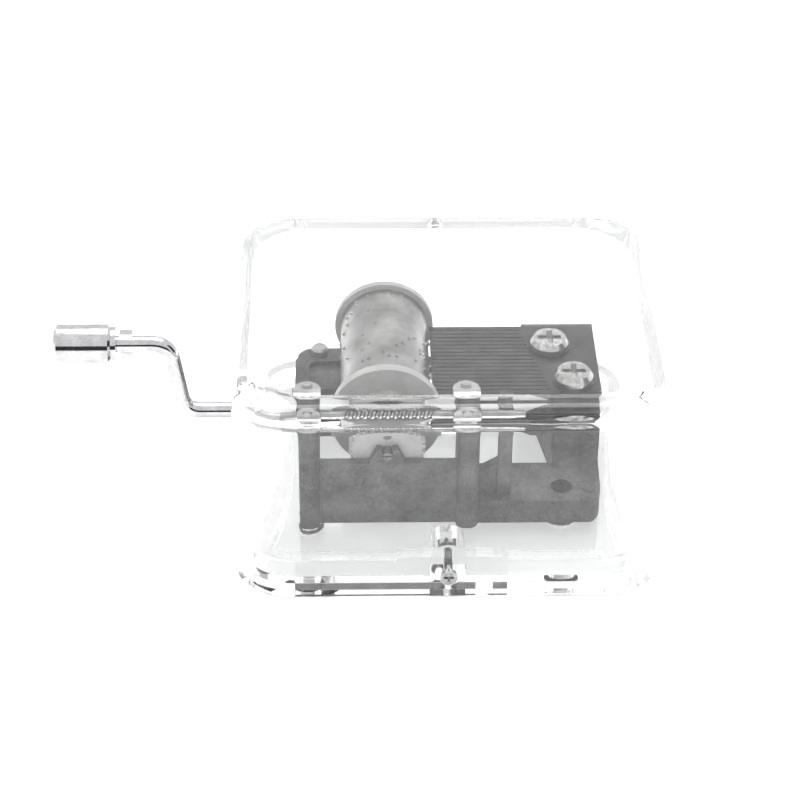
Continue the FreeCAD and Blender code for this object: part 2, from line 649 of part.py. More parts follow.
def front_wall(doc):
    """The wall between the posts, with two prongs beside the drum axle."""
    points = [
        ("post_left_high_x - 1", "frame_low_z"),
        ("post_right_low_x + 1", "frame_low_z"),
        ("post_right_low_x + 1", "wall_top_z"),
        ("drum_x + prong_foot_half", "wall_top_z"),
        ("drum_x + prong_tip_half", "prong_top_z"),
        ("drum_x - prong_tip_half", "prong_top_z"),
        ("drum_x - prong_foot_half", "wall_top_z"),
        ("post_left_high_x - 1", "wall_top_z"),
    ]
    return panel(doc, "FrontWall", points, "wall_front_y", "wall_rear_y")


def rear_platform(doc):
    """The rear left platform with its sunk floor and rounded outer corner."""
    left, right = "platform_left_x", "platform_right_x"
    points = [(left, "platform_front_y"), (right, "platform_front_y"),
              (right, "frame_rear_y"), (left, "frame_rear_y")]
    body = slab(doc, "RearPlatform", points, "platform_low_z", "platform_top_z")
    corner = upright_at((VALUES["platform_left_x"], VALUES["frame_rear_y"]))
    solid = soften(body, body.Tip, corner, "platform_round", "PlatformRound")
    rim_left, rim_rear = "platform_left_x + platform_rim", "frame_rear_y - 2 * platform_rim"
    sunk = polygon(body, "PlatformSunk", "XY_Plane", "platform_floor_z", [
        (rim_left, "platform_front_y - 1"), ("platform_right_x + 1", "platform_front_y - 1"),
        ("platform_right_x + 1", rim_rear), (rim_left, rim_rear)])
    floor = pocket(body, sunk, "platform_top_z - platform_floor_z", "PlatformFloor")
    inner = upright_at((value_of(rim_left), value_of(rim_rear)))
    soften(body, floor, inner, "platform_round - 1", "PlatformInnerRound")
    return body


def right_plate(doc):
    """The low plate at the right, with a rounded front corner."""
    points = [("post_right_high_x - 1", "plate_front_y"), ("plate_right_x", "plate_front_y"),
              ("plate_right_x", "pedestal_near_y + 1"), ("pedestal_near_x", "pedestal_near_y + 1"),
              ("pedestal_near_x", "plate_rear_y"), ("post_right_high_x - 1", "plate_rear_y")]
    body = slab(doc, "RightPlate", points, "plate_low_z", "plate_top_z")
    corner = upright_at((VALUES["plate_right_x"], VALUES["plate_front_y"]))
    soften(body, body.Tip, corner, "plate_round", "RightPlateRound")
    return body


def comb_pedestal(doc):
    """The block under the comb's heel, wider towards the back."""
    points = [("pedestal_near_x", "pedestal_near_y"), ("plate_right_x", "pedestal_near_y"),
              ("plate_right_x", "frame_rear_y"), ("pedestal_far_x", "frame_rear_y")]
    return slab(doc, "CombPedestal", points, "plate_low_z", "comb_low_z")


def shaft_lug(doc):
    """The thin lug at the shaft's right end and the sloping web beside it."""
    lug = block(doc, "ShaftLug", ("shaft_lug_left_x", "shaft_lug_right_x"),
                ("shaft_lug_front_y", "shaft_lug_rear_y"), ("plate_low_z", "shaft_lug_top_z"))
    points = [("post_right_high_x - 1", "plate_low_z + 1"), ("shaft_lug_left_x + 1", "plate_low_z + 1"),
              ("shaft_lug_left_x + 1", "web_high_z"), ("post_right_high_x - 1", "web_low_z")]
    web = panel(doc, "SlopingWeb", points, "web_front_y", "shaft_lug_rear_y")
    return [lug, web]


def make_bedplate(doc):
    """The cast frame that carries the shaft, the drum and the comb."""
    side_x = ("post_left_low_x", "post_left_low_x + side_wall_thick")
    lug_x = ("drum_x - bearing_lug_half", "drum_x + bearing_lug_half")
    pieces = post(doc, "LeftPost", "post_left_low_x", "post_left_high_x")
    pieces += post(doc, "RightPost", "post_right_low_x", "post_right_high_x")
    pieces += [
        front_wall(doc),
        rear_platform(doc),
        right_plate(doc),
        comb_pedestal(doc),
        block(doc, "LeftWall", side_x, ("post_rear_y - 1", "rear_bar_y + 0.5"),
              ("frame_low_z", "side_wall_top_z")),
        block(doc, "RearBar", ("post_left_low_x + 2", "pedestal_far_x + 1"),
              ("rear_bar_y", "frame_rear_y"), ("frame_low_z", "plate_top_z")),
        block(doc, "RearBridge", ("-bridge_half", "bridge_half"), ("rear_bar_y", "frame_rear_y"),
              ("plate_top_z - 0.1", "bridge_top_z")),
        block(doc, "RearBearing", lug_x, ("frame_rear_y - 0.1", "bearing_lug_rear_y"),
              ("frame_low_z", "bearing_lug_top_z")),
        block(doc, "PlatformLeg", ("platform_left_x + 1", "platform_right_x - 1"),
              ("rear_bar_y", "frame_rear_y - 0.4"), ("frame_low_z", "platform_floor_z")),
        rod(doc, "FrameBoss", "z", ("open_hole_x", "open_hole_y"), ("boss_low_z", "plate_low_z + 1"),
            "boss_radius"),
        rod(doc, "RearFootLeg", "z", ("rear_foot_x", "rear_foot_y"),
            ("frame_low_z", "platform_floor_z - 0.2"), "boss_radius"),
        rod(doc, "CastingMark", "z", ("mark_x", "mark_y"),
            ("plate_top_z - 1", "plate_top_z + mark_high"), "mark_radius"),
    ]
    pieces += shaft_lug(doc)
    solid = join(doc, "FrameSolid", pieces)
    holes = [
        block(doc, "BridgeGap", ("-bridge_gap_half", "bridge_gap_half"),
              ("rear_bar_y - 1", "bearing_lug_rear_y + 1"), ("0", "plate_top_z - 0.1")),
        rod(doc, "ShaftGroove", "x", ("shaft_y", "shaft_z"),
            ("post_left_low_x - 1", "shaft_lug_right_x + 1"), "bearing_radius"),
        rod(doc, "RearAxleHole", "y", ("drum_x", "drum_z"),
            ("frame_rear_y - 1", "bearing_lug_rear_y + 1"), "axle_bearing"),
        rod(doc, "FrontAxleSeat", "y", ("drum_x", "drum_z"), ("wall_front_y - 1", "wall_rear_y + 1"),
            "axle_bearing"),
        block(doc, "FrontAxleSlot", ("drum_x - axle_bearing", "drum_x + axle_bearing"),
              ("wall_front_y - 1", "wall_rear_y + 1"), ("drum_z", "prong_top_z + 1")),
        rod(doc, "OpenFrameHole", "z", ("open_hole_x", "open_hole_y"),
            ("open_hole_floor_z", "plate_top_z + 1"), "open_hole_radius"),
        rod(doc, "PlatformRivetHole", "z", ("frame_rivet_x", "frame_rivet_y"),
            ("platform_low_z - 2", "platform_top_z + 1"), "frame_rivet_radius + press_gap"),
    ]
    for name, x, y, low in feet():
        holes.append(rod(doc, name + "Thread", "z", (x, y), (f"{low} - 1", "foot_screw_top_z + 0.4"),
                         "foot_screw_radius + press_gap"))
    for name, x, y in comb_screw_places():
        holes.append(rod(doc, name + "Thread", "z", (x, y),
                         ("comb_screw_low_z - 0.5", "comb_low_z + 1"),
                         "comb_screw_radius + press_gap"))
    for name, x, y in rivet_places():
        holes.append(rod(doc, name + "PostHole", "z", (x, y),
                         ("post_top_z - rivet_deep - 0.2", "post_top_z + 1"),
                         "rivet_radius + press_gap"))
    return keep(cut(doc, "Bedplate", solid, holes), "bedplate")


def rivet_places():
    """Where the four strap rivets stand."""
    places = []
    for side, x in (("Left", "strap_left_x"), ("Right", "strap_right_x")):
        for end, y in (("Near", "shaft_y - rivet_offset"), ("Far", "shaft_y + rivet_offset")):
            places.append((side + end, x, y))
    return places


def make_strap(doc, name, x, node):
    """A saddle strap over the shaft, with rounded ends and two rivet holes."""
    wide = (f"{x} - strap_half", f"{x} + strap_half")
    low, high = "post_top_z", "post_top_z + strap_thick"
    near, far = "shaft_y - strap_reach + strap_half", "shaft_y + strap_reach - strap_half"
    tall = (low, "shaft_z + shaft_radius + 2 * strap_thick")
    flat = block(doc, name + "Flat", wide, ("shaft_y - strap_reach", "shaft_y + strap_reach"),
                 (low, high))
    arch = rod(doc, name + "Arch", "x", ("shaft_y", "shaft_z"), wide, "bearing_radius + strap_thick")
    column = join(doc, name + "Column", [
        block(doc, name + "Middle", wide, (near, far), tall),
        rod(doc, name + "NearEnd", "z", (x, near), tall, "strap_half"),
        rod(doc, name + "FarEnd", "z", (x, far), tall, "strap_half")])
    raised = join(doc, name + "Raised", [flat, arch])
    shaped = doc.addObject("Part::MultiCommon", name + "Shaped")
    shaped.Shapes = [raised, column]
    passage = rod(doc, name + "Passage", "x", ("shaft_y", "shaft_z"),
                  (f"{x} - 2 * strap_half", f"{x} + 2 * strap_half"), "bearing_radius")
    holes = [passage]
    for place, rivet_x, rivet_y in rivet_places():
        if rivet_x == x:
            holes.append(rod(doc, name + place + "Hole", "z", (rivet_x, rivet_y),
                             (f"{low} - 1", f"{high} + 1"), "rivet_radius + press_gap"))
    return keep(cut(doc, name, shaped, holes), node)


def make_strap_rivets(doc):
    """Four low-headed rivets through the straps."""
    rivets = []
    seat = "post_top_z + strap_thick"
    for name, x, y in rivet_places():
        shank = rod(doc, name + "RivetShank", "z", (x, y), ("post_top_z - rivet_deep", seat),
                    "rivet_radius")
        head = taper(doc, name + "RivetHead", "z", (x, y), (seat, f"{seat} + rivet_head_high"),
                     "rivet_head", "rivet_head_top")
        rivets.append(join(doc, name + "Rivet", [shank, head]))
    return keep(group(doc, "StrapRivets", rivets), "strap_rivets")


def make_frame_rivet(doc):
    """The single rivet on the rear platform."""
    centre = ("frame_rivet_x", "frame_rivet_y")
    shank = rod(doc, "FrameRivetShank", "z", centre, ("platform_low_z - 1.5", "platform_top_z"),
                "frame_rivet_radius")
    head = rod(doc, "FrameRivetHead", "z", centre, ("platform_top_z", "frame_rivet_top_z - 0.3"),
               "frame_rivet_head")
    crown = taper(doc, "FrameRivetCrown", "z", centre,
                  ("frame_rivet_top_z - 0.3", "frame_rivet_top_z"),
                  "frame_rivet_head", "frame_rivet_head - 0.3")
    return keep(join(doc, "FrameRivet", [shank, head, crown]), "frame_rivet")


def make_worm_shaft(doc):
    """The crank shaft about its own X axis, with the worm groove cut into it."""
    body = new_body(doc, "WormShaft")
    main = circle(body, "ShaftCircle", "YZ_Plane", "shaft_left_x", ("0", "0"), "shaft_radius")
    pad(body, main, "shaft_shoulder_x - shaft_left_x", "ShaftPad")
    tail = circle(body, "TailCircle", "YZ_Plane", "shaft_shoulder_x", ("0", "0"), "shaft_tail_radius")
    pad(body, tail, "shaft_end_x - shaft_shoulder_x", "TailPad")
    spigot = circle(body, "SpigotCircle", "YZ_Plane", "shaft_left_x - spigot_long", ("0", "0"),
                    "spigot_radius")
    pad(body, spigot, "spigot_long", "SpigotPad")
    begin = "drum_x - worm_half_turns * worm_pitch"
    groove = polygon(body, "GrooveProfile", "XZ_Plane", "", [
        (f"{begin} - groove_root_half", "-worm_root"),
        (f"{begin} + groove_root_half", "-worm_root"),
        (f"{begin} + groove_top_half", "-shaft_radius - 0.1"),
        (f"{begin} - groove_top_half", "-shaft_radius - 0.1")])
    helix = body.newObject("PartDesign::SubtractiveHelix", "WormGroove")
    helix.Profile = groove
    helix.ReferenceAxis = (groove, ["H_Axis"])
    helix.Mode = 0
    drive(helix, "Pitch", "worm_pitch")
    drive(helix, "Height", "2 * worm_half_turns * worm_pitch")
    helix.LeftHanded = False
    doc.recompute()
    drive(body, "Placement.Base.y", "shaft_y")
    drive(body, "Placement.Base.z", "shaft_z")
    return keep(body, "worm_shaft")


def make_crank_wire(doc):
    """The round wire crank: lower run, leaning riser, upper run and flattened ears."""
    body = new_body(doc, "CrankWire")
    path = wire_path(body)
    profile = circle(body, "WireCircle", "YZ_Plane", "shaft_left_x", ("shaft_y", "shaft_z"),
                     "wire_radius")
    sweep = body.newObject("PartDesign::AdditivePipe", "WirePipe")
    sweep.Profile = profile
    sweep.Spine = (path, [f"Edge{i + 1}" for i in range(5)])
    doc.recompute()
    upper = "shaft_z + crank_throw"
    ears = block(doc, "WireEars", ("ear_left_x", "ear_right_x"),
                 ("shaft_y - ear_half_thick", "shaft_y + ear_half_thick"),
                 (f"{upper} - ear_half", f"{upper} + ear_half"))
    solid = join(doc, "WireSolid", [body, ears])
    socket = rod(doc, "WireSocket", "x", ("shaft_y", "shaft_z"),
                 ("shaft_left_x - spigot_long - fit_gap", "shaft_left_x + 1"),
                 "spigot_radius + press_gap")
    return keep(cut(doc, "CrankWireCut", solid, [socket]), "crank_wire")


def wire_path(body):
    """The crank wire's centre line: three straight runs and two equal bends."""
    sketch = sketch_on(body, "WirePath", "XZ_Plane", "-shaft_y")
    low_z, high_z = VALUES["shaft_z"], value_of("shaft_z + crank_throw")
    start_x, end_x = VALUES["shaft_left_x"], VALUES["wire_end_x"]
    low_x, high_x, bend = VALUES["wire_low_x"], VALUES["wire_high_x"], VALUES["wire_bend"]
    lean = lean_angle(low_x - high_x, high_z - low_z, bend)
    normal = FreeCAD.Vector(0, 0, 1)

    def bend_point(x, z, sign, angle):
        return FreeCAD.Vector(x + sign * bend * math.sin(angle), z + sign * bend * math.cos(angle), 0)

    low_centre = FreeCAD.Vector(low_x, low_z + bend, 0)
    high_centre = FreeCAD.Vector(high_x, high_z - bend, 0)
    low_end = low_centre + FreeCAD.Vector(-math.sin(lean), -math.cos(lean), 0) * bend
    high_start = high_centre + FreeCAD.Vector(math.sin(lean), math.cos(lean), 0) * bend
    sketch.addGeometry(Part.LineSegment(FreeCAD.Vector(start_x, low_z, 0),
                                        FreeCAD.Vector(low_x, low_z, 0)))
    low_arc = Part.Circle(low_centre, normal, bend)
    sketch.addGeometry(Part.ArcOfCircle(low_arc, -math.pi / 2 - lean, -math.pi / 2))
    sketch.addGeometry(Part.LineSegment(low_end, high_start))
    high_arc = Part.Circle(high_centre, normal, bend)
    sketch.addGeometry(Part.ArcOfCircle(high_arc, math.pi / 2 - lean, math.pi / 2))
    sketch.addGeometry(Part.LineSegment(FreeCAD.Vector(high_x, high_z, 0),
                                        FreeCAD.Vector(end_x, high_z, 0)))
    joints = ((0, 2, 1, 2), (1, 1, 2, 1), (2, 2, 3, 1), (3, 2, 4, 1))
    for joint in joints:
        sketch.addConstraint(Sketcher.Constraint("Tangent", *joint))
    sketch.addConstraint(Sketcher.Constraint("Horizontal", 0))
    sketch.addConstraint(Sketcher.Constraint("Horizontal", 4))
    sketch.addConstraint(Sketcher.Constraint("Equal", 1, 3))
    index = sketch.addConstraint(Sketcher.Constraint("Radius", 1, bend))
    drive(sketch, f"Constraints[{index}]", "wire_bend")
    places = (("DistanceX", 0, 1, "shaft_left_x"), ("DistanceY", 0, 1, "shaft_z"),
              ("DistanceX", 0, 2, "wire_low_x"), ("DistanceX", 4, 1, "wire_high_x"),
              ("DistanceY", 4, 1, "shaft_z + crank_throw"), ("DistanceX", 4, 2, "wire_end_x"))
    for kind, geometry, point, text in places:
        index = sketch.addConstraint(Sketcher.Constraint(kind, -1, 1, geometry, point, value_of(text)))
        drive(sketch, f"Constraints[{index}]", text)
    return sketch


def lean_angle(across, up, bend):
    """How far each bend turns when two equal bends join runs offset by across and up."""
    reach = math.hypot(across, up - 2 * bend)
    half_line = math.sqrt(reach ** 2 / 4 - bend ** 2)
    return math.atan2(up - 2 * bend, across) + math.atan2(bend, half_line)


def make_knob(doc):
    """The knob: a chamfered cylinder with a blind bore that turns on the wire."""
    centre = ("shaft_y", "shaft_z + crank_throw")
    full = "knob_radius - knob_chamfer"
    solid = join(doc, "KnobSolid", [
        taper(doc, "KnobOuterChamfer", "x", centre, ("knob_left_x", "knob_left_x + knob_chamfer"),
              full, "knob_radius"),
        rod(doc, "KnobBarrel", "x", centre,
            ("knob_left_x + knob_chamfer", "knob_right_x - knob_chamfer"), "knob_radius"),
        taper(doc, "KnobInnerChamfer", "x", centre, ("knob_right_x - knob_chamfer", "knob_right_x"),
              "knob_radius", full)])
    bore = rod(doc, "KnobBore", "x", centre, ("knob_bore_x", "knob_right_x + 1"), "knob_bore")
    return keep(cut(doc, "Knob", solid, [bore]), "knob")


def make_knob_collar(doc):
    """The narrower collar at the knob's inner end."""
    centre = ("shaft_y", "shaft_z + crank_throw")
    ring = rod(doc, "CollarRing", "x", centre, ("knob_right_x", "collar_right_x"), "collar_radius")
    bore = rod(doc, "CollarBore", "x", centre, ("knob_right_x - 1", "collar_right_x + 1"),
               "knob_bore")
    return keep(cut(doc, "KnobCollar", ring, [bore]), "knob_collar")


def make_drum_wheel(doc):
    """The worm wheel, its hub and its disc in one moulding, about its own Y axis."""
    body = new_body(doc, "DrumWheel")
    turned = polygon(body, "WheelSection", "YZ_Plane", "", [
        ("wheel_front_y", "axle_radius + press_gap"), ("wheel_front_y", "wheel_root"),
        ("wheel_rear_y", "wheel_root"), ("wheel_rear_y", "wheel_hub"),
        ("disc_front_y", "wheel_hub"), ("disc_front_y", "disc_front_radius"),
        ("drum_front_y", "disc_front_radius"),
        ("drum_front_y", "drum_radius - drum_shell - press_gap"),
        ("drum_front_y + spigot_disc_long", "drum_radius - drum_shell - press_gap"),
        ("drum_front_y + spigot_disc_long", "axle_radius + press_gap")])
    revolve(body, turned, "WheelTurned")
    begin = "wheel_front_y - shaft_y"
    slope = "(worm_pitch / (2 * pi * (shaft_radius + worm_root) / 2))"
    shift = f"({begin}) * {slope}"
    tooth = polygon(body, "ToothProfile", "XZ_Plane", "-wheel_front_y", [
        (f"{shift} - tooth_root_half", "wheel_root - 0.2"),
        (f"{shift} + tooth_root_half", "wheel_root - 0.2"),
        (f"{shift} + tooth_tip_half", "wheel_tip"),
        (f"{shift} - tooth_tip_half", "wheel_tip")])
    raised = body.newObject("PartDesign::Pad", "Tooth")
    raised.Profile = tooth
    raised.UseCustomVector = True
    raised.Direction = FreeCAD.Vector(value_of(slope), 1, 0)
    raised.AlongSketchNormal = True
    drive(raised, "Length", "wheel_rear_y - wheel_front_y")
    doc.recompute()
    ring = body.newObject("PartDesign::PolarPattern", "TeethRing")
    ring.Originals = [raised]
    ring.Axis = (next(f for f in body.Origin.OriginFeatures if f.Role == "Y_Axis"), [""])
    ring.Angle = 360
    drive(ring, "Occurrences", "wheel_teeth")
    body.Tip = ring
    doc.recompute()
    hole = circle(body, "WheelHoleCircle", "XZ_Plane", "-wheel_front_y - wheel_hole_deep",
                  ("0.001", "wheel_hole_up"), "wheel_hole_radius")
    pocket(body, hole, "wheel_hole_deep + 1", "WheelHole")
    set_on_drum_axis(body)
    return keep(body, "drum_wheel")


def revolve(body, sketch, name):
    """Turn a section about the body's Y axis."""
    feature = body.newObject("PartDesign::Revolution", name)
    feature.Profile = sketch
    feature.ReferenceAxis = (sketch, ["H_Axis"])
    feature.Angle = 360
    body.Document.recompute()
    return feature


def set_on_drum_axis(body):
    """Move a body built about its own Y axis onto the drum axis."""
    drive(body, "Placement.Base.x", "drum_x")
    drive(body, "Placement.Base.z", "drum_z")


def make_rear_end_disc(doc):
    """The plain end disc at the drum's rear, about its own Y axis."""
    body = new_body(doc, "RearEndDisc")
    section = polygon(body, "RearDiscSection", "YZ_Plane", "", [
        ("drum_rear_y - spigot_disc_long", "axle_radius + press_gap"),
        ("drum_rear_y - spigot_disc_long", "drum_radius - drum_shell - press_gap"),
        ("drum_rear_y", "drum_radius - drum_shell - press_gap"),
        ("drum_rear_y", "disc_rear_radius"), ("disc_rear_y", "disc_rear_radius"),
        ("disc_rear_y", "axle_radius + press_gap")])
    revolve(body, section, "RearDiscTurned")
    set_on_drum_axis(body)
    return keep(body, "rear_end_disc")


def tooth_middle(index):
    """An expression for the middle of one comb tooth, counted from the near edge."""
    return f"comb_near_y + (comb_far_y - comb_near_y) * {index + 0.5} / comb_teeth"


def pin_angles(track):
    """Where one track of the tune carries pins: an even beat with every third place skipped."""
    steps = 40
    angles = []
    for step in range(steps):
        beat = (step * 7 + track * 11 + (step * track) % 5) % 18
        if beat in (0, 7):
            angles.append(360.0 * step / steps + 4.5 + 0.4 * (track % 3))
    return angles


def make_drum_cylinder(doc):
    """The thin drum with its pins raised on one track for every comb tooth."""
    centre = ("drum_x", "drum_z")
    span = ("drum_front_y", "drum_rear_y")
    shell = rod(doc, "DrumOuter", "y", centre, span, "drum_radius")
    core = rod(doc, "DrumInner", "y", centre, ("drum_front_y - 1", "drum_rear_y + 1"),
               "drum_radius - drum_shell")
    pieces = [cut(doc, "DrumShell", shell, [core])]
    foot = "drum_radius - drum_shell / 2"
    for track in range(COUNTS["comb_teeth"]):
        for number, angle in enumerate(pin_angles(track)):
            pieces.append(drum_pin(doc, f"Pin{track}_{number}", tooth_middle(track), angle, foot))
    return keep(join(doc, "DrumCylinder", pieces), "drum_cylinder")


def drum_pin(doc, name, y, angle, foot):
    """One pin that stands out of the drum at an angle about its axis."""
    pin = doc.addObject("Part::Cone", name)
    turn = FreeCAD.Rotation(FreeCAD.Vector(0, 1, 0), angle)
    pin.Placement = FreeCAD.Placement(FreeCAD.Vector(), turn)
    drive(pin, "Placement.Base.x", f"drum_x + ({foot}) * sin({angle} deg)")
    drive(pin, "Placement.Base.y", y)
    drive(pin, "Placement.Base.z", f"drum_z + ({foot}) * cos({angle} deg)")
    drive(pin, "Height", f"pin_tip - ({foot})")
    drive(pin, "Radius1", "pin_foot_radius")
    drive(pin, "Radius2", "pin_tip_radius")
    return pin


def make_drum_axle(doc):
    """The drum's axle, slotted at its front end."""
    axle = rod(doc, "AxleRod", "y", ("drum_x", "drum_z"), ("axle_front_y", "axle_rear_y"),
               "axle_radius")
    slot = block(doc, "AxleSlot", ("drum_x - 1", "drum_x + 1"),
                 ("axle_front_y - 1", "axle_front_y + 0.35"), ("drum_z - 0.12", "drum_z + 0.12"))
    return keep(cut(doc, "DrumAxle", axle, [slot]), "drum_axle")


def comb_screw_places():
    """Where the two comb screws stand."""
    return (("NearComb", "comb_screw_near_x", "comb_screw_near_y"),
            ("FarComb", "comb_screw_far_x", "comb_screw_far_y"))


def make_comb(doc):
    """The steel comb: a plate with slots whose roots slant from near to far."""
    body = slab(doc, "CombPlate", [
        ("comb_tip_x", "comb_near_y"), ("comb_heel_x", "comb_near_y"),
        ("comb_heel_x", "comb_far_y"), ("comb_tip_x", "comb_far_y")], "comb_low_z", "comb_top_z")
    heel = VALUES["comb_heel_x"]
    corners = upright_at((heel, VALUES["comb_near_y"]), (heel, VALUES["comb_far_y"]))
    soften(body, body.Tip, corners, "comb_corner", "CombCorners")
    tools = []
    for slot in range(1, COUNTS["comb_teeth"]):
        middle = f"comb_near_y + (comb_far_y - comb_near_y) * {slot} / comb_teeth"
        root = f"comb_root_near_x + (comb_root_far_x - comb_root_near_x) * {slot} / comb_teeth"
        tools.append(block(doc, f"CombSlot{slot}", ("comb_tip_x - 1", root),
                           (f"{middle} - comb_slot / 2", f"{middle} + comb_slot / 2"),
                           ("comb_low_z - 1", "comb_top_z + 1")))
    for name, x, y in comb_screw_places():
        tools.append(rod(doc, name + "Hole", "z", (x, y), ("comb_low_z - 1", "comb_top_z + 1"),
                         "comb_screw_radius + fit_gap"))
    return keep(cut(doc, "Comb", body, tools), "comb")


def make_comb_washers(doc):
    """Two flat washers on the comb."""
    washers = []
    for name, x, y in comb_screw_places():
        disc = rod(doc, name + "WasherDisc", "z", (x, y), ("comb_top_z", "comb_top_z + washer_thick"),
                   "washer_radius")
        hole = rod(doc, name + "WasherHole", "z", (x, y), ("comb_top_z - 1", "comb_top_z + 1"),
                   "comb_screw_radius + fit_gap")
        washers.append(cut(doc, name + "Washer", disc, [hole]))
    return keep(group(doc, "CombWashers", washers), "comb_washers")


def make_comb_screws(doc):
    """Two pan-head screws with cross recesses that clamp the comb to its pedestal."""
    screws = []
    seat = "comb_top_z + washer_thick"
    for name, x, y in comb_screw_places():
        shank = rod(doc, name + "Shank", "z", (x, y), ("comb_screw_low_z", seat),
                    "comb_screw_radius")
        head = rod(doc, name + "Head", "z", (x, y), (seat, f"{seat} + comb_screw_head_low"),
                   "comb_screw_head")
        crown = taper(doc, name + "Crown", "z", (x, y),
                      (f"{seat} + comb_screw_head_low", "comb_screw_top_z"),
                      "comb_screw_head", "comb_screw_crown")
        solid = join(doc, name + "ScrewSolid", [shank, head, crown])
        bars = cross_recess(doc, name + "Cross", "z", (x, y),
                            ("comb_screw_top_z - cross_deep", "comb_screw_top_z + 1"),
                            "cross_half_long", "cross_half_wide")
        screws.append(cut(doc, name + "Screw", solid, bars))
    return keep(group(doc, "CombScrews", screws), "comb_screws")


def check_all(doc):
    """Stop if any object failed to compute or any finished sub-part is not a sound solid."""
    for thing in doc.Objects:
        if "Invalid" in thing.State or "Error" in thing.State:
            raise RuntimeError(f"{thing.Name}: {thing.State}")
    for thing in NODES:
        shape = thing.Shape
        if shape.isNull() or not shape.isValid() or not shape.Solids:
            raise RuntimeError(f"{thing.Label}: unsound shape")


def main():
    """Build every sub-part, check it and write it."""
    doc = FreeCAD.newDocument("HandCrankMusicBox")
    fill_sheet(doc)
    make_base_plate(doc)
    make_top_cover(doc)
    make_case_screws(doc)
    make_movement_screws(doc)
    make_bedplate(doc)
    make_strap(doc, "LeftStrap", "strap_left_x", "shaft_strap_left")
    make_strap(doc, "RightStrap", "strap_right_x", "shaft_strap_right")
    make_strap_rivets(doc)
    make_frame_rivet(doc)
    make_worm_shaft(doc)
    make_crank_wire(doc)
    make_knob(doc)
    make_knob_collar(doc)
    make_drum_wheel(doc)
    make_drum_cylinder(doc)
    make_rear_end_disc(doc)
    make_drum_axle(doc)
    make_comb(doc)
    make_comb_washers(doc)
    make_comb_screws(doc)
    doc.recompute()
    check_all(doc)
    os.makedirs("parts", exist_ok=True)
    for thing in NODES:
        thing.Shape.exportStep(f"parts/{thing.Label}.step")
        print(thing.Label, len(thing.Shape.Solids), round(thing.Shape.Volume, 2))


main()
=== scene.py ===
"""Looks for the hand crank music box: materials, softened edges, floor, light and camera."""
import math

import bpy
from mathutils import Matrix, Vector

MM = 0.001

# Photograph's viewpoint, in degrees and metres, about a point above the middle of the base.
CAMERA_HEIGHT_ANGLE = 35.9223
CAMERA_YAW = -1.5786
CAMERA_ROLL = 0.6231
CAMERA_DISTANCE = 0.3498039
CAMERA_LENS = 109.173
CAMERA_SIDE = 0.006309
CAMERA_DROP = 0.001829
LOOK_AT_HEIGHT = 0.013
SENSOR_WIDTH = 36
NEAR_CLIP = 0.01

# Widths of the softened edges, and the smallest angle that counts as an edge.
CAST_EDGE = 0.15 * MM
FASTENER_EDGE = 0.08 * MM
EDGE_ANGLE = 40
EDGE_SEGMENTS = 2

# Metals: how much of the tone is grain, the rest being patches, and the depth of the grain.
GRAIN_SHARE = 0.5
GRAIN_DEPTH = 0.03 * MM

# Clear acrylic.
ACRYLIC_TINT = (0.985, 0.99, 0.99, 1)
ACRYLIC_IOR = 1.49

# Light in the studio.
WORLD_STRENGTH = 1.15
FLOOR_GLOW = 0.45
LAMP_POWER = 4.0
LAMP_SIDE = 0.5
LIGHT_BOUNCES = 96
FLOOR_SIDE = 6.0
FLOOR_DROP = 0.2 * MM
BOARD_SPREAD = 0.1


def new_material(name):
    """A node material, its node tree and its Principled shader."""
    material = bpy.data.materials.new(name)
    material.use_nodes = True
    tree = material.node_tree
    return material, tree, tree.nodes["Principled BSDF"]


def add(tree, kind, **values):
    """A node with some of its properties or inputs set."""
    node = tree.nodes.new(kind)
    for key, value in values.items():
        if key in node.inputs:
            node.inputs[key].default_value = value
        else:
            setattr(node, key, value)
    return node


def coordinates(tree, stretch=(1.0, 1.0, 1.0)):
    """Object coordinates, scaled along the axes."""
    place = add(tree, "ShaderNodeTexCoord")
    mapping = add(tree, "ShaderNodeMapping")
    mapping.inputs["Scale"].default_value = stretch
    tree.links.new(place.outputs["Object"], mapping.inputs["Vector"])
    return mapping.outputs["Vector"]


def noise(tree, vector, scale, detail=3.0, roughness=0.55):
    """A noise texture's value."""
    node = add(tree, "ShaderNodeTexNoise")
    node.inputs["Scale"].default_value = scale
    node.inputs["Detail"].default_value = detail
    node.inputs["Roughness"].default_value = roughness
    tree.links.new(vector, node.inputs["Vector"])
    return node.outputs["Fac"]


def ramp(tree, value, low, high, start=0.38, end=0.62):
    """A ramp between two colours, driven by a value."""
    node = add(tree, "ShaderNodeValToRGB")
    node.color_ramp.elements[0].position = start
    node.color_ramp.elements[1].position = end
    node.color_ramp.elements[0].color = (*low, 1)
    node.color_ramp.elements[1].color = (*high, 1)
    tree.links.new(value, node.inputs["Fac"])
    return node.outputs["Color"]


def spread(tree, value, low, high):
    """A value remapped from 0..1 to low..high."""
    node = add(tree, "ShaderNodeMapRange")
    node.inputs["To Min"].default_value = low
    node.inputs["To Max"].default_value = high
    tree.links.new(value, node.inputs["Value"])
    return node.outputs["Result"]


def bump(tree, shader, height, strength, distance):
    """Surface relief from a value."""
    node = add(tree, "ShaderNodeBump")
    node.inputs["Strength"].default_value = strength
    node.inputs["Distance"].default_value = distance
    tree.links.new(height, node.inputs["Height"])
    tree.links.new(node.outputs["Normal"], shader.inputs["Normal"])


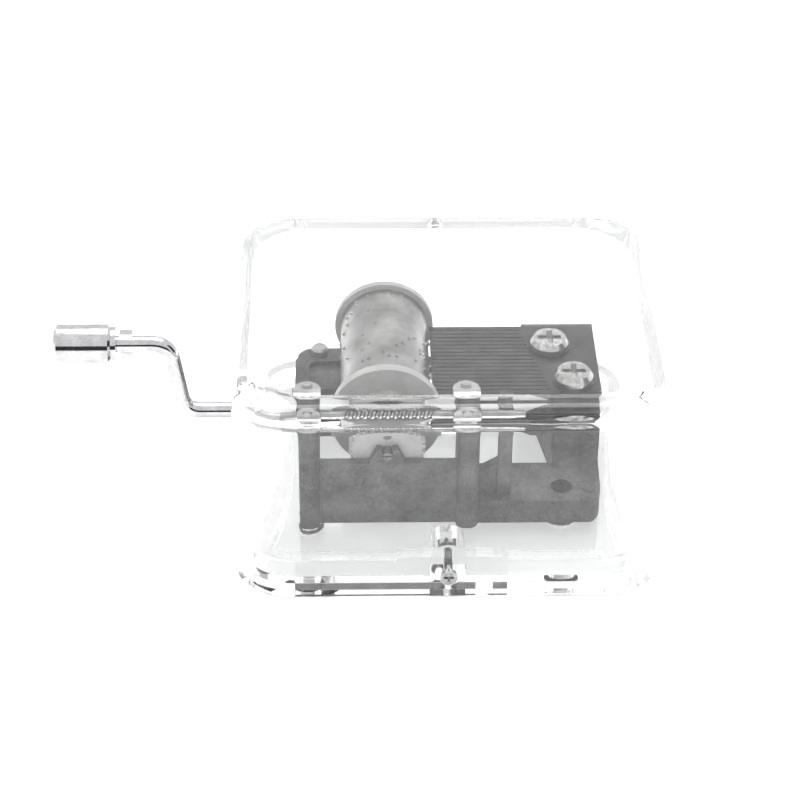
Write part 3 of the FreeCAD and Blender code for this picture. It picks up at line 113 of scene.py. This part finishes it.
def metal(name, dark, light, rough, scale, relief, stretch=(1.0, 1.0, 1.0), metallic=1.0, fine=None):
    """A metal with patchy tone, varied gloss and a grain or brushing of a given size."""
    material, tree, shader = new_material(name)
    shader.inputs["Metallic"].default_value = metallic
    even = coordinates(tree)
    grain_place = coordinates(tree, stretch)
    patches = noise(tree, even, scale, 4.0)
    grain = noise(tree, grain_place, fine or scale * 6, 5.0, 0.65)
    mixed = add(tree, "ShaderNodeMath", operation="MULTIPLY_ADD")
    mixed.inputs[1].default_value = GRAIN_SHARE
    tree.links.new(grain, mixed.inputs[0])
    rest = add(tree, "ShaderNodeMath", operation="MULTIPLY")
    rest.inputs[1].default_value = 1 - GRAIN_SHARE
    tree.links.new(patches, rest.inputs[0])
    tree.links.new(rest.outputs[0], mixed.inputs[2])
    tree.links.new(ramp(tree, mixed.outputs[0], dark, light), shader.inputs["Base Color"])
    tree.links.new(spread(tree, grain, *rough), shader.inputs["Roughness"])
    bump(tree, shader, grain, relief, GRAIN_DEPTH)
    return material


def clear_acrylic(name):
    """Polished clear acrylic with faint ripples and hairline scratches."""
    material, tree, shader = new_material(name)
    shader.inputs["Base Color"].default_value = ACRYLIC_TINT
    shader.inputs["Transmission Weight"].default_value = 1.0
    shader.inputs["IOR"].default_value = ACRYLIC_IOR
    even = coordinates(tree)
    ripple = noise(tree, even, 60.0, 1.0)
    scratch_place = coordinates(tree, (1.0, 14.0, 2.0))
    scratches = noise(tree, scratch_place, 900.0, 2.0, 0.8)
    tree.links.new(spread(tree, scratches, 0.0, 0.03), shader.inputs["Roughness"])
    bump(tree, shader, ripple, 0.04, 0.08 * MM)
    return material


def white_plastic(name):
    """Moulded white plastic that lets a little light through."""
    material, tree, shader = new_material(name)
    even = coordinates(tree)
    clouds = noise(tree, even, 350.0, 4.0)
    tree.links.new(ramp(tree, clouds, (0.5, 0.5, 0.49), (0.6, 0.6, 0.59)),
                   shader.inputs["Base Color"])
    shader.inputs["Subsurface Weight"].default_value = 0.35
    shader.inputs["Subsurface Radius"].default_value = (1.0, 1.0, 1.0)
    shader.inputs["Subsurface Scale"].default_value = 0.6 * MM
    tree.links.new(spread(tree, clouds, 0.32, 0.5), shader.inputs["Roughness"])
    bump(tree, shader, noise(tree, even, 1800.0, 3.0), 0.15, 0.02 * MM)
    return material


def floor_material(name):
    """A pale, matt studio sweep with a trace of grain."""
    material, tree, shader = new_material(name)
    even = coordinates(tree)
    grain = noise(tree, even, 220.0, 4.0)
    tree.links.new(ramp(tree, grain, (0.93, 0.93, 0.93), (0.955, 0.955, 0.955)),
                   shader.inputs["Base Color"])
    shader.inputs["Roughness"].default_value = 0.9
    shader.inputs["Emission Color"].default_value = (1, 1, 1, 1)
    shader.inputs["Emission Strength"].default_value = FLOOR_GLOW
    bump(tree, shader, grain, 0.05, 0.1 * MM)
    return material


def make_materials():
    """Every material, under the finish names that FINISH uses."""
    return {
        "acrylic": clear_acrylic("clear acrylic"),
        "zinc": metal("cast zinc", (0.035, 0.035, 0.035), (0.19, 0.19, 0.187), (0.4, 0.65), 260.0,
                      0.6, metallic=0.7, fine=2600.0),
        "comb": metal("hardened comb steel", (0.02, 0.02, 0.022), (0.075, 0.075, 0.078), (0.3, 0.5),
                      300.0, 0.35, (1.0, 18.0, 1.0), 0.9, 900.0),
        "strap": metal("plated strap steel", (0.3, 0.3, 0.3), (0.5, 0.5, 0.5), (0.22, 0.42),
                       420.0, 0.25, (1.0, 9.0, 1.0), 0.9, 1400.0),
        "chrome": metal("polished chrome wire", (0.42, 0.42, 0.43), (0.62, 0.62, 0.63), (0.06, 0.16),
                        500.0, 0.12, (1.0, 6.0, 6.0), 1.0, 1500.0),
        "worm": metal("plated worm steel", (0.2, 0.2, 0.2), (0.42, 0.42, 0.42), (0.16, 0.3),
                      500.0, 0.15, (10.0, 1.0, 1.0), 1.0, 1500.0),
        "screw": metal("plated screws", (0.32, 0.32, 0.31), (0.58, 0.58, 0.57), (0.12, 0.28), 600.0,
                       0.2, metallic=1.0, fine=1800.0),
        "drum": metal("brushed nickel drum", (0.16, 0.16, 0.155), (0.4, 0.4, 0.39), (0.24, 0.42),
                      220.0, 0.4, (2.0, 30.0, 2.0), 0.95, 500.0),
        "axle": metal("turned steel", (0.1, 0.1, 0.1), (0.22, 0.22, 0.22), (0.25, 0.45), 700.0, 0.3,
                      fine=2200.0),
        "plastic": white_plastic("white moulded plastic"),
    }


FINISH = {
    "top_cover": "acrylic",
    "base_plate": "acrylic",
    "case_screws": "screw",
    "movement_screws": "screw",
    "bedplate": "zinc",
    "shaft_strap_left": "strap",
    "shaft_strap_right": "strap",
    "strap_rivets": "strap",
    "frame_rivet": "strap",
    "worm_shaft": "worm",
    "crank_wire": "chrome",
    "knob": "chrome",
    "knob_collar": "chrome",
    "drum_wheel": "plastic",
    "drum_cylinder": "drum",
    "rear_end_disc": "plastic",
    "drum_axle": "axle",
    "comb": "comb",
    "comb_washers": "comb",
    "comb_screws": "screw",
}


def finish_nodes(nodes, materials):
    """Give every CAD node its material."""
    for node, finish in FINISH.items():
        slots = nodes[node].data.materials
        slots.clear()
        slots.append(materials[finish])


def soften_edges(nodes, names, width):
    """Round a node's sharp edges very slightly, so that they catch the light."""
    for name in names:
        bevel = nodes[name].modifiers.new("edge", "BEVEL")
        bevel.width = width
        bevel.segments = EDGE_SEGMENTS
        bevel.limit_method = "ANGLE"
        bevel.angle_limit = math.radians(EDGE_ANGLE)
        bevel.harden_normals = True
        bevel.use_clamp_overlap = True


def plane(name, size, place, turn, material):
    """A flat rectangle that stands in the studio."""
    mesh = bpy.data.meshes.new(name)
    across, along = size[0] / 2, size[1] / 2
    corners = [(-across, -along, 0), (across, -along, 0), (across, along, 0), (-across, along, 0)]
    mesh.from_pydata(corners, [], [(0, 1, 2, 3)])
    thing = bpy.data.objects.new(name, mesh)
    bpy.context.collection.objects.link(thing)
    thing.location = place
    thing.rotation_euler = turn
    mesh.materials.append(material)
    return thing


def card_material(name, tone):
    """Matt board with a faint fibre."""
    material, tree, shader = new_material(name)
    fibre = noise(tree, coordinates(tree), 90.0, 4.0)
    low = (tone * (1 - BOARD_SPREAD),) * 3
    high = (tone * (1 + BOARD_SPREAD),) * 3
    tree.links.new(ramp(tree, fibre, low, high), shader.inputs["Base Color"])
    shader.inputs["Roughness"].default_value = 1.0
    return material


def make_studio():
    """A pale floor, boards at the sides and in front, a bright world and one soft lamp."""
    plane("studio_floor", (FLOOR_SIDE, FLOOR_SIDE), (0, 0, -FLOOR_DROP), (0, 0, 0),
          floor_material("studio floor"))
    upright = math.pi / 2
    grey = card_material("grey board", 0.3)
    dark = card_material("dark board", 0.02)
    plane("right_board", (0.3, 0.4), (0.5, -0.1, 0.2), (upright, 0, math.radians(60)), dark)
    plane("left_board", (0.2, 0.3), (-0.5, -0.1, 0.15), (upright, 0, math.radians(-60)), grey)
    # The front board shows only in mirror reflections, as a dark band on the plated parts.
    front = plane("front_board", (1.6, 0.42), (0, -0.9, 0.2), (upright, 0, 0), dark)
    front.visible_transmission = False
    front.visible_diffuse = False
    world = bpy.data.worlds.new("studio")
    bpy.context.scene.world = world
    world.use_nodes = True
    sky = world.node_tree.nodes["Background"]
    sky.inputs["Color"].default_value = (1, 1, 1, 1)
    sky.inputs["Strength"].default_value = WORLD_STRENGTH
    lamp = bpy.data.lights.new("soft_top", "AREA")
    lamp.energy = LAMP_POWER
    lamp.shape = "RECTANGLE"
    lamp.size = LAMP_SIDE
    lamp.size_y = LAMP_SIDE
    holder = bpy.data.objects.new("soft_top", lamp)
    bpy.context.collection.objects.link(holder)
    holder.location = (0.12, 0.25, 0.7)
    holder.rotation_euler = (math.radians(-20), math.radians(10), 0)


def make_camera():
    """The camera at the photograph's viewpoint."""
    height, yaw, roll = (math.radians(a) for a in (CAMERA_HEIGHT_ANGLE, CAMERA_YAW, CAMERA_ROLL))
    back = Vector((math.sin(yaw) * math.cos(height), -math.cos(yaw) * math.cos(height),
                   math.sin(height)))
    right = (-back).cross(Vector((0, 0, 1))).normalized()
    up = right.cross(-back)
    side = right * math.cos(roll) + up * math.sin(roll)
    top = up * math.cos(roll) - right * math.sin(roll)
    place = Vector((0, 0, LOOK_AT_HEIGHT)) + back * CAMERA_DISTANCE
    place += -side * CAMERA_SIDE + top * CAMERA_DROP
    lens = bpy.data.cameras.new("camera")
    lens.lens = CAMERA_LENS
    lens.sensor_width = SENSOR_WIDTH
    lens.clip_start = NEAR_CLIP
    camera = bpy.data.objects.new("camera", lens)
    bpy.context.collection.objects.link(camera)
    camera.matrix_world = Matrix((
        (side.x, top.x, back.x, place.x), (side.y, top.y, back.y, place.y),
        (side.z, top.z, back.z, place.z), (0, 0, 0, 1)))
    bpy.context.scene.camera = camera
    bpy.context.scene.view_settings.view_transform = "Standard"


def let_light_through():
    """Enough bounces for light to leave the thick clear walls."""
    cycles = bpy.context.scene.cycles
    cycles.max_bounces = LIGHT_BOUNCES
    cycles.transmission_bounces = LIGHT_BOUNCES
    cycles.glossy_bounces = LIGHT_BOUNCES


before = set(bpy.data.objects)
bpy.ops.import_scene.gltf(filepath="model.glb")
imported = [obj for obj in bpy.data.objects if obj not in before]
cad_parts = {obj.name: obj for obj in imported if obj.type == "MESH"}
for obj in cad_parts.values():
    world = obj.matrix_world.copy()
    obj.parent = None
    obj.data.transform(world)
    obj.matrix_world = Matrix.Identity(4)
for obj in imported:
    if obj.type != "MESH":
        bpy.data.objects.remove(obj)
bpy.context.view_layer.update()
materials = make_materials()
finish_nodes(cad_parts, materials)
soften_edges(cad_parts, ["bedplate"], CAST_EDGE)
soften_edges(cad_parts, ["comb_screws", "comb_washers", "strap_rivets"], FASTENER_EDGE)
make_studio()
make_camera()
let_light_through()
